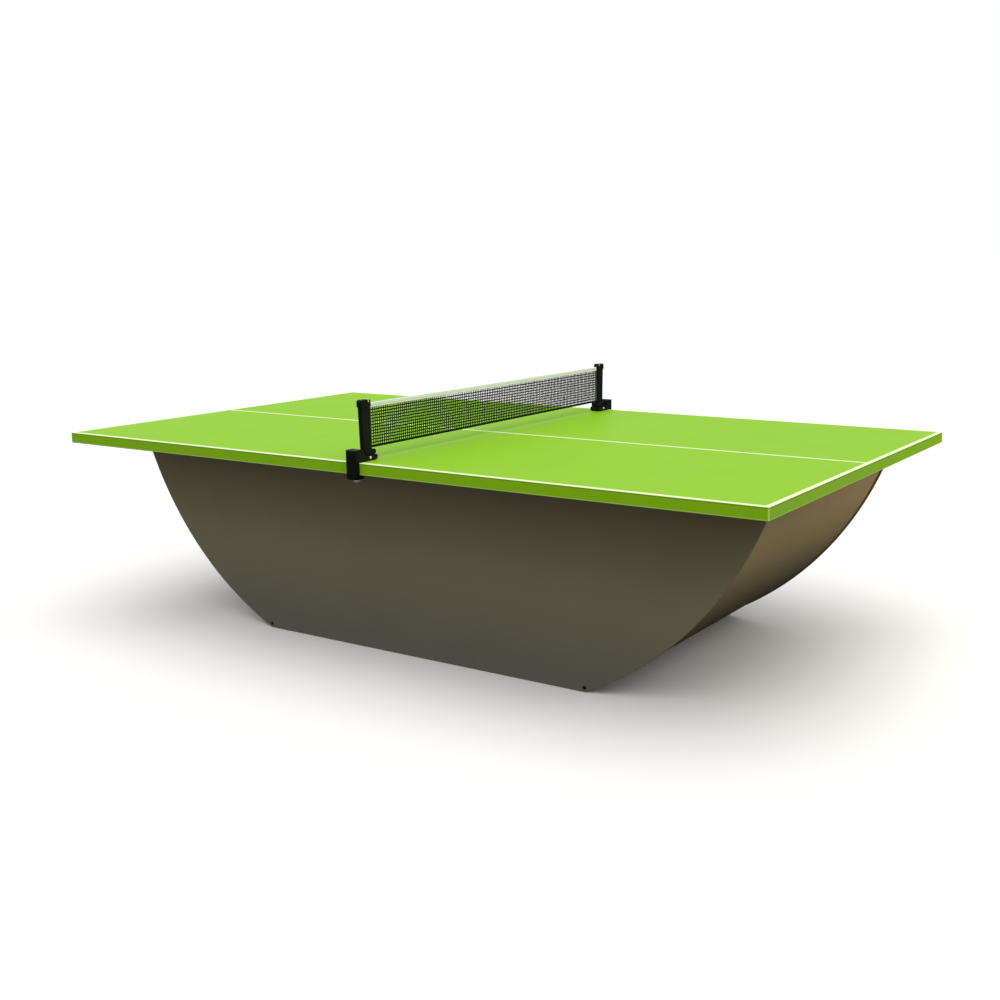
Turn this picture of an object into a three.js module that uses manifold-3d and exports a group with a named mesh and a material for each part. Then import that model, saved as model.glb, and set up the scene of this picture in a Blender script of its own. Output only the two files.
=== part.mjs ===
// A ping pong table: a green two-part top on a boat-shaped closed base, with a clamp-on net.
// Millimetres, +Z up, +X along the table, +Y across it. The origin is on the floor, under the
// middle of the table.

import * as THREE from "three";
import { mergeVertices } from "three/addons/utils/BufferGeometryUtils.js";
import Module from "manifold-3d";

const wasm = await Module();
wasm.setup();

// ---- Driving dimensions -------------------------------------------------------------------

const gap = 0.3; // between pieces that touch
const overcut = 1; // how far a cutting tool goes past the face it cuts

// Top
const tableLength = 2740;
const tableWidth = 1525;
const playHeight = 700;
const topThickness = 38;

// Base: two flat sides with round ends, and curved sheets between them
const baseWidth = 1000; // over the side panels
const baseFootLength = 1330; // where it stands on the floor
const baseRimLength = 2550; // where it meets the top
const endRadius = 1150; // of the curved ends, seen from the side
const sidePanelThickness = 12;
const skinThickness = 5;
const skinInset = 6; // how far the sheets lie inside the side panels' edges

// Inside frame
const railWidth = 36;
const topRailHeight = 45;
const baseRailHeight = 40;
const crossRailWidth = 60;
const seamRailWidth = 110;
const outerRailInset = 175; // from the base's rim to the middle of the outer cross rail
const bulkheadThickness = 15;
const railEndGap = 1.15; // between the top rails' ends and the curved sheets

// Screws
const panelScrew = { head: 12, headHeight: 3, shank: 5, length: 34 };
const panelScrewRise = 16; // its centre above the floor
const panelScrewClearance = 1.06; // from its shank to the curved sheet
const topScrew = { head: 15, headHeight: 5, shank: 8, grip: 20 };
const topScrewReach = 300; // from the middle of the table
const plateScrew = { head: 10, headHeight: 2.5, shank: 5, length: 22 };

// Plates that join the two halves of the top, under its overhang
const joinPlate = { length: 180, width: 70, thickness: 4 };
const plateScrewSpacing = 120;

// Net clamp, one on each long edge
const clampWidth = 42;
const clampBack = 18; // thickness of the upright outside the edge
const clampEdgeGap = 0.5;
const clampShoulder = 40; // its highest point above the top
const armHeight = 18; // the arm's top side above the table
const armPadThickness = 2;
const armPadMargin = 3; // from the arm's edges
const jawWall = 7; // round the clamping screw, on the jaw's inner side
const jawThickness = 8;
const shoulderSlope = 8; // how much deeper the shoulder is at its foot
const shoulderClearance = 7; // from the shoulder to the post

// Clamping screw and its pad
const spindleDiameter = 8;
const padDiameter = 19;
const padEdgeClearance = 1; // from the table's edge
const padTravel = 3.2; // how far it can be let down
const padThickness = 3;
const padSocketDepth = 1.6;
const headDiameter = 21;
const headHeight = 8;
const headChamfer = 1.5;
const headClearance = 1.5;
const boreClearance = 0.3; // all round, in the clamp and the pad

// Net post
const footHeight = 16;
const footWidth = 32;
const footReach = 11; // of the foot and the arm, past the post
const postThickness = 16;
const postInner = 75; // its net side from the edge
const postOuterFoot = 37;
const postTaper = 4; // how much wider the post is at its top
const postHeight = 166; // above the table
const tongueThickness = 10; // the tongue under the foot goes down into a slot in the arm
const tongueLength = 17;
const slotClearance = 0.4;
const armScrew = { fromPost: 15, rise: 10.5, head: 9, headHeight: 2, shank: 4.5 };

// Cap on the post, with the notch that the net's cord is hitched in
const capHeight = 23;
const capOverhang = 2;
const notchFromNet = 7; // from the notch to the post's net side
const notchWidth = 6;
const notchDepth = 9;
const cleatProud = 1.5;
const cleatWidth = 21;

// Net
const netTop = 178; // above the table
const netClearance = 1.5; // between the bottom cord and the post's foot
const netThickness = 1.2;
const tapeHeight = 15;
const tapeWall = 0.8;
const tapeChannel = 4;
const tapeEndGap = 1; // from the tape's ends to the posts
const topCordDiameter = 3;
const bottomCordDiameter = 6;
const sleeveWidth = 8;
const sleeveThickness = 5;

// ---- Values that follow from them ---------------------------------------------------------

const underside = playHeight - topThickness;
const rimHeight = underside - gap; // top side of the base
const seamHalfGap = gap; // from the middle of the table to each half of the top
const innerHalf = baseWidth / 2 - sidePanelThickness; // inner faces of the side panels
const crossRailSpacing = (baseRimLength / 2 - outerRailInset) / 2;
const skinInner = skinInset + skinThickness; // inner face of the sheets, from the panel's edge
const floorOfBase = skinInner + gap; // what stands inside the base stands here
const edgeY = tableWidth / 2;
const joinPlateY = (edgeY + baseWidth / 2) / 2; // under the middle of the overhang

const postOuterTop = postOuterFoot - postTaper;
const armReach = postInner + footReach;
const armScrewInset = postOuterFoot + armScrew.fromPost;
const shoulderDepth = postOuterFoot - shoulderClearance - shoulderSlope;
const spindleInset = padDiameter / 2 + padEdgeClearance; // its axis from the edge
const jawDepth = spindleInset + spindleDiameter / 2 + jawWall;
const jawOpening = gap + padThickness + padTravel; // from the top's underside to the lower jaw
const notchInset = postInner - notchFromNet - notchWidth;

// Centre of the curved ends: the circle of endRadius through the foot's and the rim's ends.
const endCentre = (() => {
  const foot = new THREE.Vector2(baseFootLength / 2, 0);
  const rim = new THREE.Vector2(baseRimLength / 2, rimHeight);
  const chord = rim.clone().sub(foot);
  const half = chord.length() / 2;
  const inward = new THREE.Vector2(-chord.y, chord.x).normalize();
  const toCentre = Math.sqrt(endRadius ** 2 - half ** 2);
  return foot.add(chord.multiplyScalar(0.5)).add(inward.multiplyScalar(toCentre));
})();

// How far out the base's outline, drawn in by inset, reaches at a height.
const hullReach = (inset, z) =>
  endCentre.x + Math.sqrt((endRadius - inset) ** 2 - (endCentre.y - z) ** 2);

const panelScrewInset = skinInner + panelScrewClearance + panelScrew.shank / 2;
const panelScrewPlace = hullReach(panelScrewInset, panelScrewRise); // from the middle

// ---- Colours and materials ----------------------------------------------------------------

const finish = (color, roughness, metalness = 0) =>
  new THREE.MeshStandardMaterial({ color, roughness, metalness });
const materials = {
  topGreen: finish(0x93cf3a, 0.4),
  baseBrown: finish(0x4b4739, 0.55),
  timber: finish(0xb08d5e, 0.8),
  zincSteel: finish(0xb4b6b8, 0.4, 0.9),
  darkScrew: finish(0x1c1c1b, 0.4, 0.6),
  blackPlastic: finish(0x151613, 0.45),
  rubber: finish(0x202020, 0.9),
  chrome: finish(0xd8dadb, 0.12, 1),
  netBlack: finish(0x1a1d18, 0.8),
  whiteTape: finish(0xf2f3ec, 0.8),
  greySleeve: finish(0x6b6f66, 0.8),
};

// ---- Helpers ------------------------------------------------------------------------------

// A geometry as a solid for joining and cutting, with its shared corners merged.
function solid(geometry) {
  const bare = geometry.clone();
  bare.deleteAttribute("normal");
  bare.deleteAttribute("uv");
  const merged = mergeVertices(bare, 1e-4);
  return new wasm.Manifold(
    new wasm.Mesh({
      numProp: 3,
      vertProperties: new Float32Array(merged.attributes.position.array),
      triVerts: new Uint32Array(merged.index.array),
    }),
  );
}

// A solid as a geometry again.
function geometryOf(body) {
  const mesh = body.getMesh();
  const geometry = new THREE.BufferGeometry();
  geometry.setAttribute("position", new THREE.BufferAttribute(mesh.vertProperties, 3));
  geometry.setIndex(new THREE.BufferAttribute(mesh.triVerts, 1));
  geometry.computeVertexNormals();
  return geometry;
}

// A geometry with others cut out of it.
function cut(geometry, ...tools) {
  let body = solid(geometry);
  for (const tool of tools) body = body.subtract(solid(tool));
  return geometryOf(body);
}

// Geometries joined into one.
function join(...parts) {
  return geometryOf(parts.map(solid).reduce((a, b) => a.add(b)));
}

// A box given by its lowest and highest corners.
function box(low, high) {
  const [x, y, z] = high.map((h, i) => h - low[i]);
  const middle = high.map((h, i) => (h + low[i]) / 2);
  return new THREE.BoxGeometry(x, y, z).translate(...middle);
}

// A cylinder along an axis from one place on it to another.
function rod(diameter, axis, from, to, sides = 16) {
  const geometry = new THREE.CylinderGeometry(diameter / 2, diameter / 2, to - from, sides);
  geometry.translate(0, (from + to) / 2, 0);
  if (axis === "z") geometry.rotateX(Math.PI / 2);
  if (axis === "x") geometry.rotateZ(-Math.PI / 2);
  return geometry;
}

// An outline in the XZ plane made into a plate from y = from to y = to.
function plateAcross(shape, from, to, curveSegments = 12) {
  const geometry = new THREE.ExtrudeGeometry(shape, {
    depth: to - from,
    bevelEnabled: false,
    curveSegments,
  });
  return geometry.rotateX(Math.PI / 2).translate(0, to, 0);
}

// An outline in the YZ plane made into a plate width wide, centred on x = 0.
function plateAlong(shape, width) {
  const geometry = new THREE.ExtrudeGeometry(shape, {
    depth: width,
    bevelEnabled: false,
    curveSegments: 4,
  });
  geometry.rotateX(Math.PI / 2).rotateZ(Math.PI / 2);
  return geometry.translate(-width / 2, 0, 0);
}

// An outline through corners [a, b, radius], each rounded by its radius.
function rounded(corners) {
  const shape = new THREE.Shape();
  corners.forEach(([a, b, radius = 0], i) => {
    const corner = new THREE.Vector2(a, b);
    const towards = (j) => {
      const [c, d] = corners[(j + corners.length) % corners.length];
      return new THREE.Vector2(c, d).sub(corner).normalize().multiplyScalar(radius).add(corner);
    };
    const start = towards(i - 1);
    if (i === 0) shape.moveTo(start.x, start.y);
    else shape.lineTo(start.x, start.y);
    if (radius) {
      const end = towards(i + 1);
      shape.quadraticCurveTo(corner.x, corner.y, end.x, end.y);
    }
  });
  return shape;
}

// The base's side outline, drawn in by inset, between two heights.
function hullOutline(inset, low, high) {
  const radius = endRadius - inset;
  const angleAt = (z) => Math.asin((z - endCentre.y) / radius);
  const [start, end] = [angleAt(low), angleAt(high)];
  const shape = new THREE.Shape();
  shape.absarc(endCentre.x, endCentre.y, radius, start, end, false);
  shape.absarc(-endCentre.x, endCentre.y, radius, Math.PI - end, Math.PI - start, false);
  return shape;
}

const table = new THREE.Group();

function add(name, geometry, material, parent = table) {
  const mesh = new THREE.Mesh(geometry, materials[material].clone());
  mesh.name = name;
  parent.add(mesh);
  return mesh;
}

const sides = [
  ["near", -1],
  ["far", 1],
];
const ends = [
  ["left", -1],
  ["right", 1],
];

// ---- Screws: a flat head below a shank, pointing up, with the head's upper side at z = 0 ----

const screwSides = 12;

function screwUp({ head, headHeight, shank }, length) {
  const profile = [
    [0, -headHeight],
    [head / 2, -headHeight],
    [head / 2, 0],
    [shank / 2, 0],
    [shank / 2, length],
    [0, length],
  ].map(([r, z]) => new THREE.Vector2(r, z));
  return new THREE.LatheGeometry(profile, screwSides).rotateX(Math.PI / 2);
}

// The hole that a screw's shank needs, from its head's seat up.
function screwHole({ shank }, length) {
  return rod(shank + 2 * gap, "z", -overcut, length + gap, screwSides);
}

// ---- Cross rails, and where they are screwed to the top --------------------------------------

const crossRailPlaces = [-2, -1, 0, 1, 2].map((k) => k * crossRailSpacing);
const topRailInner = innerHalf - gap - railWidth;
const topScrewLength = topRailHeight + gap + topScrew.grip;
const topScrewPlaces = [];
crossRailPlaces
  .filter((x) => x !== 0)
  .forEach((x, k) => {
    for (const [side, s] of sides) {
      topScrewPlaces.push([`top_screw_${side}_${k + 1}`, x, s * topScrewReach]);
    }
  });
const plateScrewPlaces = [];
for (const [side, s] of sides) {
  for (const [end, e] of ends) {
    const place = [(e * plateScrewSpacing) / 2, s * joinPlateY];
    plateScrewPlaces.push([`join_screw_${side}_${end}`, ...place]);
  }
}

// ---- Top: two halves that meet under the net -------------------------------------------------

for (const [end, e] of ends) {
  const [a, b] = [e * seamHalfGap, (e * tableLength) / 2].sort((p, q) => p - q);
  const slab = box([a, -edgeY, underside], [b, edgeY, playHeight]);
  const onThisHalf = ([, x]) => Math.sign(x) === e;
  const holes = [
    ...topScrewPlaces.filter(onThisHalf).map(([, x, y]) =>
      screwHole(topScrew, topScrewLength).translate(x, y, rimHeight - topRailHeight),
    ),
    ...plateScrewPlaces.filter(onThisHalf).map(([, x, y]) =>
      screwHole(plateScrew, plateScrew.length).translate(
        x,
        y,
        underside - gap - joinPlate.thickness,
      ),
    ),
  ];
  add(`top_half_${end}`, cut(slab, ...holes), "topGreen");
}

// ---- Base: side panels, curved end sheets and bottom sheet -----------------------------------

const baseRailOutline = hullOutline(skinInner + gap, floorOfBase, floorOfBase + baseRailHeight);

for (const [side, s] of sides) {
  const [from, to] = [s * innerHalf, (s * baseWidth) / 2].sort((p, q) => p - q);
  const panel = plateAcross(hullOutline(0, 0, rimHeight), from, to, 26);
  const rail = plateAcross(
    baseRailOutline,
    ...[s * (innerHalf - gap), s * (innerHalf - gap - railWidth)].sort((p, q) => p - q),
    3,
  );
  const screws = ends.map(([, e]) => {
    const turnIn = (geometry) =>
      geometry
        .rotateX((s * Math.PI) / 2)
        .translate(e * panelScrewPlace, (s * baseWidth) / 2, panelScrewRise);
    return [
      turnIn(screwUp(panelScrew, panelScrew.length).translate(0, 0, -gap)),
      turnIn(screwHole(panelScrew, panelScrew.length)),
    ];
  });
  const holes = screws.map(([, hole]) => hole);
  add(`side_panel_${side}`, cut(panel, ...holes), "baseBrown");
  add(`base_rail_${side}`, cut(rail, ...holes), "timber");
  ends.forEach(([end], i) => add(`corner_screw_${side}_${end}`, screws[i][0], "darkScrew"));
}

const skinReach = innerHalf - gap;
for (const [end, e] of ends) {
  const outer = endRadius - skinInset;
  const inner = outer - skinThickness;
  const start = Math.asin((skinInset - endCentre.y) / outer);
  const stop = Math.asin((rimHeight - endCentre.y) / inner);
  const sheet = new THREE.Shape();
  sheet.absarc(endCentre.x, endCentre.y, outer, start, stop, false);
  sheet.absarc(endCentre.x, endCentre.y, inner, stop, start, true);
  const geometry = plateAcross(sheet, -skinReach, skinReach, 24);
  if (e < 0) geometry.rotateZ(Math.PI);
  add(`end_skin_${end}`, geometry, "baseBrown");
}

const bottomReach = hullReach(skinInset, skinInset) - skinThickness;
add(
  "bottom_sheet",
  box([-bottomReach, -skinReach, skinInset], [bottomReach, skinReach, skinInner]),
  "baseBrown",
);

// ---- Inside frame: rails under the top, and bulkheads that hold them up ----------------------

// The side rails' ends are square, and stop where the curved sheet is nearest.
const topRailLow = rimHeight - topRailHeight;
const topRailHalf = hullReach(skinInner + railEndGap, topRailLow);
for (const [side, s] of sides) {
  const reach = [s * topRailInner, s * (innerHalf - gap)].sort((p, q) => p - q);
  const rail = box([-topRailHalf, reach[0], topRailLow], [topRailHalf, reach[1], rimHeight]);
  add(`top_rail_${side}`, rail, "timber");
}

const crossReach = topRailInner - gap;
crossRailPlaces.forEach((x, k) => {
  const half = (k === 2 ? seamRailWidth : crossRailWidth) / 2;
  const rail = box(
    [x - half, -crossReach, rimHeight - topRailHeight],
    [x + half, crossReach, rimHeight],
  );
  const holes = topScrewPlaces
    .filter(([, place]) => place === x)
    .map(([, , y]) =>
      screwHole(topScrew, topScrewLength).translate(x, y, rimHeight - topRailHeight),
    );
  add(`cross_rail_${k + 1}`, holes.length ? cut(rail, ...holes) : rail, "timber");
});

for (const [name, x, y] of topScrewPlaces) {
  const screw = screwUp(topScrew, topScrewLength - gap);
  add(name, screw.translate(x, y, rimHeight - topRailHeight - gap), "zincSteel");
}

[1, 2, 3].forEach((k) => {
  const x = crossRailPlaces[k];
  // The outer ones stand beside their rail's screws, towards the middle, clear of the heads.
  const shift = -Math.sign(x) * (topScrew.head / 2 + bulkheadThickness);
  const half = bulkheadThickness / 2;
  add(
    `bulkhead_${k}`,
    box(
      [x + shift - half, -crossReach, floorOfBase],
      [x + shift + half, crossReach, rimHeight - topRailHeight - gap],
    ),
    "timber",
  );
});

// ---- Plates that join the halves of the top --------------------------------------------------

for (const [side, s] of sides) {
  const y = s * joinPlateY;
  const plate = box(
    [-joinPlate.length / 2, y - joinPlate.width / 2, underside - gap - joinPlate.thickness],
    [joinPlate.length / 2, y + joinPlate.width / 2, underside - gap],
  );
  const holes = plateScrewPlaces
    .filter(([, , place]) => place === y)
    .map(([, x]) =>
      screwHole(plateScrew, plateScrew.length).translate(
        x,
        y,
        underside - gap - joinPlate.thickness,
      ),
    );
  add(`join_plate_${side}`, cut(plate, ...holes), "zincSteel");
}
for (const [name, x, y] of plateScrewPlaces) {
  const screw = screwUp(plateScrew, plateScrew.length - gap);
  add(name, screw.translate(x, y, underside - 2 * gap - joinPlate.thickness), "zincSteel");
}

// ---- Net clamps and posts, drawn with y = 0 at the edge, y inwards, z = 0 on the table -------

const armUnderside = armPadThickness + 2 * gap;
const jawTop = -topThickness - jawOpening;
const jawBottom = jawTop - jawThickness;
const clampOuter = -clampEdgeGap - clampBack;
const footBottom = armHeight + gap;
const footTop = footBottom + footHeight;

const armScrewHole = rod(armScrew.shank + 2 * gap, "x", -clampWidth, clampWidth, 12).translate(
  0,
  armScrewInset,
  armScrew.rise,
);
const spindleHole = rod(
  spindleDiameter + 2 * boreClearance,
  "z",
  jawBottom - overcut,
  jawTop + overcut,
  20,
).translate(0, spindleInset, 0);

const clampOutline = rounded([
  [clampOuter, jawBottom, 16],
  [jawDepth, jawBottom, 4],
  [jawDepth, jawTop, 2],
  [-clampEdgeGap, jawTop, 2],
  [-clampEdgeGap, armUnderside, 1],
  [armReach, armUnderside, 5],
  [armReach, armHeight, 7],
  [shoulderDepth + shoulderSlope, armHeight, 3],
  [shoulderDepth, clampShoulder, 9],
  [clampOuter, clampShoulder, 11],
]);
const tongueStart = armScrewInset - tongueLength / 2;
const tongueEnd = armScrewInset + tongueLength / 2;
const tongueSlot = box(
  [-tongueThickness / 2 - slotClearance, tongueStart - slotClearance, armUnderside - overcut],
  [tongueThickness / 2 + slotClearance, tongueEnd + slotClearance, armHeight + overcut],
);
const clampBody = cut(
  plateAlong(clampOutline, clampWidth),
  armScrewHole,
  spindleHole,
  tongueSlot,
);

const armPad = box(
  [-clampWidth / 2 + armPadMargin, armPadMargin, gap],
  [clampWidth / 2 - armPadMargin, armReach - 2 * armPadMargin, gap + armPadThickness],
);

const padTop = -topThickness - gap;
const padProfile = [
  [0, padTop - padSocketDepth],
  [spindleDiameter / 2 + boreClearance, padTop - padSocketDepth],
  [spindleDiameter / 2 + boreClearance, padTop - padThickness],
  [padDiameter / 2, padTop - padThickness],
  [padDiameter / 2, padTop],
  [0, padTop],
].map(([r, z]) => new THREE.Vector2(r, z));

const headTop = jawBottom - headClearance;
const screwProfile = [
  [0, headTop - headHeight],
  [headDiameter / 2 - headChamfer, headTop - headHeight],
  [headDiameter / 2, headTop - headHeight + headChamfer],
  [headDiameter / 2, headTop],
  [spindleDiameter / 2, headTop],
  [spindleDiameter / 2, padTop - padSocketDepth - gap],
  [0, padTop - padSocketDepth - gap],
].map(([r, z]) => new THREE.Vector2(r, z));

const postOutline = rounded([
  [postOuterFoot, footBottom],
  [postInner, footBottom],
  [postInner, postHeight],
  [postOuterTop, postHeight],
]);
const footOutline = rounded([
  [postOuterFoot, footBottom, 3],
  [armReach, footBottom, 6],
  [armReach, footTop, 7],
  [postOuterFoot, footTop, 3],
]);
const tongue = box(
  [-tongueThickness / 2, tongueStart, armUnderside],
  [tongueThickness / 2, tongueEnd, footTop],
);
const netPost = cut(
  join(plateAlong(postOutline, postThickness), plateAlong(footOutline, footWidth), tongue),
  armScrewHole,
);

const capBottom = postHeight + gap;
const capTop = capBottom + capHeight;
const capOutline = rounded([
  [postOuterTop - capOverhang, capBottom, 2],
  [postInner, capBottom],
  [postInner, capTop, 6],
  [notchInset + notchWidth, capTop],
  [notchInset + notchWidth, capTop - notchDepth],
  [notchInset, capTop - notchDepth],
  [notchInset, capTop],
  [postOuterTop - capOverhang, capTop, 8],
]);
const postCap = plateAlong(capOutline, postThickness + 2 * capOverhang);
const cordCleat = box(
  [-cleatWidth / 2, notchInset + gap, capTop - notchDepth + gap],
  [cleatWidth / 2, notchInset + notchWidth - gap, capTop + cleatProud],
);

const screwHeadX = clampWidth / 2 + gap;
const armScrewHalf = screwHeadX + armScrew.headHeight / 2; // the shank ends inside its heads
const armScrewBody = join(
  rod(armScrew.shank, "x", -armScrewHalf, armScrewHalf, screwSides),
  rod(armScrew.head, "x", screwHeadX, screwHeadX + armScrew.headHeight, 14),
  rod(armScrew.head, "x", -screwHeadX - armScrew.headHeight, -screwHeadX, 14),
);

const netBottom = footTop + netClearance + bottomCordDiameter / 2; // middle of its cord

const sleeve = box(
  [-sleeveThickness / 2, postInner + gap, netBottom + bottomCordDiameter / 2 + gap],
  [sleeveThickness / 2, postInner + gap + sleeveWidth, netTop - tapeHeight - gap],
);

for (const [side, s] of sides) {
  const set = new THREE.Group();
  set.position.set(0, s * edgeY, playHeight);
  set.rotation.z = s < 0 ? 0 : Math.PI;
  table.add(set);
  add(`clamp_body_${side}`, clampBody, "blackPlastic", set);
  add(`clamp_arm_pad_${side}`, armPad, "rubber", set);
  add(
    `pressure_pad_${side}`,
    new THREE.LatheGeometry(padProfile, 24).rotateX(Math.PI / 2),
    "rubber",
    set,
  ).position.y = spindleInset;
  add(
    `clamp_screw_${side}`,
    new THREE.LatheGeometry(screwProfile, 20).rotateX(Math.PI / 2),
    "chrome",
    set,
  ).position.y = spindleInset;
  add(`net_post_${side}`, netPost, "blackPlastic", set);
  add(`post_cap_${side}`, postCap, "blackPlastic", set);
  add(`cord_cleat_${side}`, cordCleat, "chrome", set);
  const crossScrew = add(`arm_screw_${side}`, armScrewBody, "chrome", set);
  crossScrew.position.set(0, armScrewInset, armScrew.rise);
  add(`net_sleeve_${side}`, sleeve, "greySleeve", set);
}

// ---- Net: mesh, tape folded over its top, and the cords along its top and bottom -------------

const net = new THREE.Group();
net.position.z = playHeight;
table.add(net);

const postFace = edgeY - postInner; // the posts' net side, from the middle
const meshReach = postFace - gap - sleeveWidth - gap;
const cordReach = postFace - gap;
const topCordHeight = netTop - tapeWall - gap - topCordDiameter / 2;
const meshTop = topCordHeight - topCordDiameter / 2 - gap;
const meshBottom = netBottom + bottomCordDiameter / 2 + gap;

add(
  "net_mesh",
  box([-netThickness / 2, -meshReach, meshBottom], [netThickness / 2, meshReach, meshTop]),
  "netBlack",
  net,
);

const tapeOuter = tapeChannel / 2 + tapeWall;
const tapeOutline = new THREE.Shape(
  [
    [-tapeOuter, netTop - tapeHeight],
    [-tapeChannel / 2, netTop - tapeHeight],
    [-tapeChannel / 2, netTop - tapeWall],
    [tapeChannel / 2, netTop - tapeWall],
    [tapeChannel / 2, netTop - tapeHeight],
    [tapeOuter, netTop - tapeHeight],
    [tapeOuter, netTop],
    [-tapeOuter, netTop],
  ].map(([x, z]) => new THREE.Vector2(x, z)),
);
const tapeReach = cordReach - tapeEndGap;
add("net_top_tape", plateAcross(tapeOutline, -tapeReach, tapeReach), "whiteTape", net);
add(
  "net_top_cord",
  rod(topCordDiameter, "y", -cordReach, cordReach, 8).translate(0, 0, topCordHeight),
  "netBlack",
  net,
);
add(
  "net_bottom_cord",
  rod(bottomCordDiameter, "y", -cordReach, cordReach, 8).translate(0, 0, netBottom),
  "netBlack",
  net,
);

export default table;
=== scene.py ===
# A ping pong table: green two-part top with white lines, dark boat-shaped base with curved
# ends, and a clamp-on net with black posts. Metres, +Z up, +X along the table.

import math
import random

import bmesh
import bpy
from mathutils import Matrix, Vector


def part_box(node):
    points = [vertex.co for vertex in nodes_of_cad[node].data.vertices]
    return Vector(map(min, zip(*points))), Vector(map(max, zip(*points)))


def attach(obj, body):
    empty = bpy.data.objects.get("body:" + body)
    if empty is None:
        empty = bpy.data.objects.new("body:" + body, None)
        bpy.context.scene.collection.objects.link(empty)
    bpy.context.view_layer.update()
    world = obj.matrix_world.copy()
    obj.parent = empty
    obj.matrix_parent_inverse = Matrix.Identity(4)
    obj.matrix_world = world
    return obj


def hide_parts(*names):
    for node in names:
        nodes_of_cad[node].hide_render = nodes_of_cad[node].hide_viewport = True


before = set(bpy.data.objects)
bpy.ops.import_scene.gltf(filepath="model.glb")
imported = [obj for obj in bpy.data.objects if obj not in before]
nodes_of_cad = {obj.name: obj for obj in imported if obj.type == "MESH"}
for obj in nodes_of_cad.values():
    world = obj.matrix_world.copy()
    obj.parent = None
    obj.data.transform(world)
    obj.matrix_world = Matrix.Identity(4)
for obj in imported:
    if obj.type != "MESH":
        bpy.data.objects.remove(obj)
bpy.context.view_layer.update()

scene = bpy.context.scene

# ---- Camera ---------------------------------------------------------------------------------
# It stands off the near right corner a little above head height for a seated player, looking
# along the table and slightly down.

view = bpy.data.cameras.new("view")
view.sensor_width = 36
view.lens = 44.9
view.shift_x = -0.06
view.clip_end = 300
camera = bpy.data.objects.new("view", view)
scene.collection.objects.link(camera)
camera.matrix_world = (
    Matrix.Translation((2.573, -3.613, 1.327))
    @ Matrix.Rotation(math.radians(32.6), 4, "Z")
    @ Matrix.Rotation(math.radians(90 - 11.2), 4, "X")
    @ Matrix.Rotation(math.radians(-0.53), 4, "Z")
)
scene.camera = camera
scene.view_settings.view_transform = "Standard"
scene.view_settings.look = "None"

# ---- Studio ---------------------------------------------------------------------------------
# A pale floor that runs on to the horizon, a white surround, a broad soft key from above right
# and a warm low fill from the right end.


def new_node(nodes, kind, **settings):
    """A new node; each setting is the value of the socket of that name, or a setting of its own."""
    node = nodes.new(kind)
    for key, value in settings.items():
        if key in node.inputs:
            node.inputs[key].default_value = value
        else:
            setattr(node, key, value)
    return node


def sun_light(name, strength, softness_deg, towards, colour):
    lamp = bpy.data.lights.new(name, "SUN")
    lamp.energy = strength
    lamp.angle = math.radians(softness_deg)
    lamp.color = colour
    holder = bpy.data.objects.new(name, lamp)
    scene.collection.objects.link(holder)
    holder.rotation_mode = "QUATERNION"
    holder.rotation_quaternion = Vector(towards).to_track_quat("-Z", "Y")
    return holder


def area_light(name, power, size, place, target, colour):
    lamp = bpy.data.lights.new(name, "AREA")
    lamp.energy = power
    lamp.size = size
    lamp.color = colour
    holder = bpy.data.objects.new(name, lamp)
    scene.collection.objects.link(holder)
    holder.location = place
    holder.rotation_mode = "QUATERNION"
    holder.rotation_quaternion = (Vector(target) - Vector(place)).to_track_quat("-Z", "Y")
    holder.visible_camera = False
    return holder


sun_light("key", 1.95, 80, (-0.26, 0.20, -0.94), (1.0, 0.985, 0.95))
area_light("end_fill", 2.6, 0.6, (2.3, 0.9, 0.5), (1.2, 0.2, 0.6), (1.0, 0.80, 0.55))

world = bpy.data.worlds.new("surround")
world.use_nodes = True
scene.world = world
tree = world.node_tree
tree.nodes.clear()
light_path = tree.nodes.new("ShaderNodeLightPath")
surround_light = tree.nodes.new("ShaderNodeBackground")
surround_light.inputs["Color"].default_value = (1.0, 0.99, 0.97, 1)
surround_light.inputs["Strength"].default_value = 0.60
surround_seen = tree.nodes.new("ShaderNodeBackground")
surround_seen.inputs["Color"].default_value = (1, 1, 1, 1)
surround_seen.inputs["Strength"].default_value = 1.0
surround_mix = tree.nodes.new("ShaderNodeMixShader")
surround_out = tree.nodes.new("ShaderNodeOutputWorld")
tree.links.new(light_path.outputs["Is Camera Ray"], surround_mix.inputs["Fac"])
tree.links.new(surround_light.outputs["Background"], surround_mix.inputs[1])
tree.links.new(surround_seen.outputs["Background"], surround_mix.inputs[2])
tree.links.new(surround_mix.outputs["Shader"], surround_out.inputs["Surface"])

bm = bmesh.new()
bmesh.ops.create_circle(bm, cap_ends=True, radius=120, segments=64)
floor_mesh = bpy.data.meshes.new("floor")
bm.to_mesh(floor_mesh)
bm.free()
floor = bpy.data.objects.new("floor", floor_mesh)
scene.collection.objects.link(floor)

floor_paint = bpy.data.materials.new("floor")
floor_paint.use_nodes = True
tree = floor_paint.node_tree
floor_shader = tree.nodes["Principled BSDF"]
floor_shader.inputs["Roughness"].default_value = 0.9
floor_shader.inputs["Specular IOR Level"].default_value = 0.1
floor_seen = tree.nodes.new("ShaderNodeLightPath")
floor_tone = new_node(tree.nodes, "ShaderNodeMix", data_type="RGBA")
floor_tone.inputs[6].default_value = (0.08, 0.08, 0.085, 1)
floor_tone.inputs[7].default_value = (0.97, 0.97, 0.97, 1)
tree.links.new(floor_seen.outputs["Is Camera Ray"], floor_tone.inputs["Factor"])
tree.links.new(floor_tone.outputs[2], floor_shader.inputs["Base Color"])
floor_mesh.materials.append(floor_paint)

# ---- Top ------------------------------------------------------------------------------------
# Two painted boards, 38 mm thick, that meet under the net. Their arrises are rounded over, the
# playing lines are sprayed on through a mask, and the underside has only dark primer.


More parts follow.
